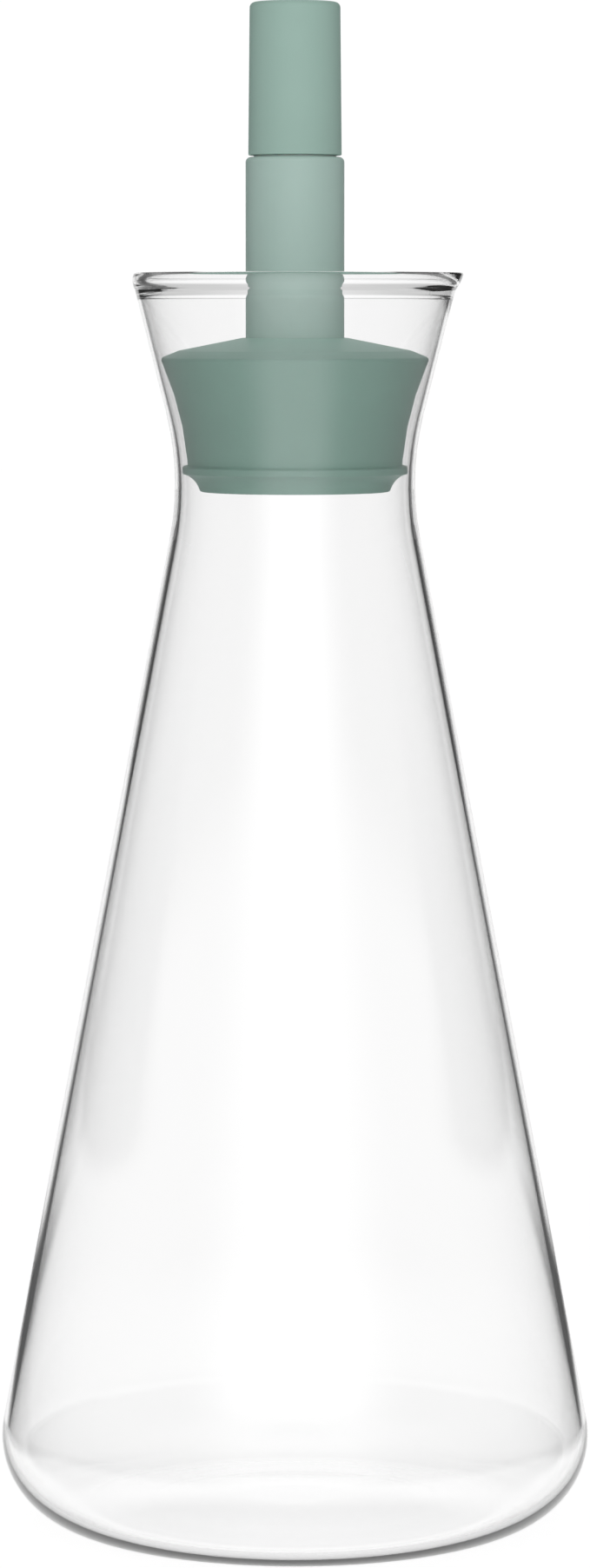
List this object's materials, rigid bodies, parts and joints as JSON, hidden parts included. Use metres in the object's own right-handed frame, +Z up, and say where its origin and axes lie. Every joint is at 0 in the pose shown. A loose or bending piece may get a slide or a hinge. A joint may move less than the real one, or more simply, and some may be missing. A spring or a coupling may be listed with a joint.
{
  "type": "conical glass dispenser bottle",
  "caption": "Conical blown-glass dispenser bottle with a flared mouth and pouring lip, a tapered silicone stopper with a pour spout, and a pull-off cap.",
  "frame": {"origin": "centre of the circle that the flask stands on, at the height of its flat foot ring", "axes": "+Z up along the axis of the flask and stopper; +X towards the pouring lip"},
  "size_m": [0.1, 0.1, 0.2567],
  "materials": {
    "clear_glass": "clear, fire-polished",
    "green_silicone": "matte moulded silicone",
    "green_soft_touch": "soft-touch matte",
    "spout_plastic": "satin moulded",
    "seal_rubber": "matte silicone rubber",
    "tube_steel": "drawn tube"
  },
  "bodies": {
    "flask": {"flask": "clear_glass"},
    "stopper": {"stopper_plug": "green_silicone", "stem_barrel": "green_soft_touch", "pour_insert": "spout_plastic", "insert_seal_ring": "seal_rubber", "cap_grip_ring": "seal_rubber", "air_tube": "tube_steel"},
    "cap": {"cap_shell": "green_soft_touch", "cap_liner": "seal_rubber"}
  },
  "joints": [
    {"name": "stopper_lift", "type": "slide", "parent": "flask", "child": "stopper", "axis": [0, 0, 1], "range_m": [0, 0.045]},
    {"name": "cap_pull", "type": "slide", "parent": "stopper", "child": "cap", "axis": [0, 0, 1], "range_m": [0, 0.03]}
  ]
}
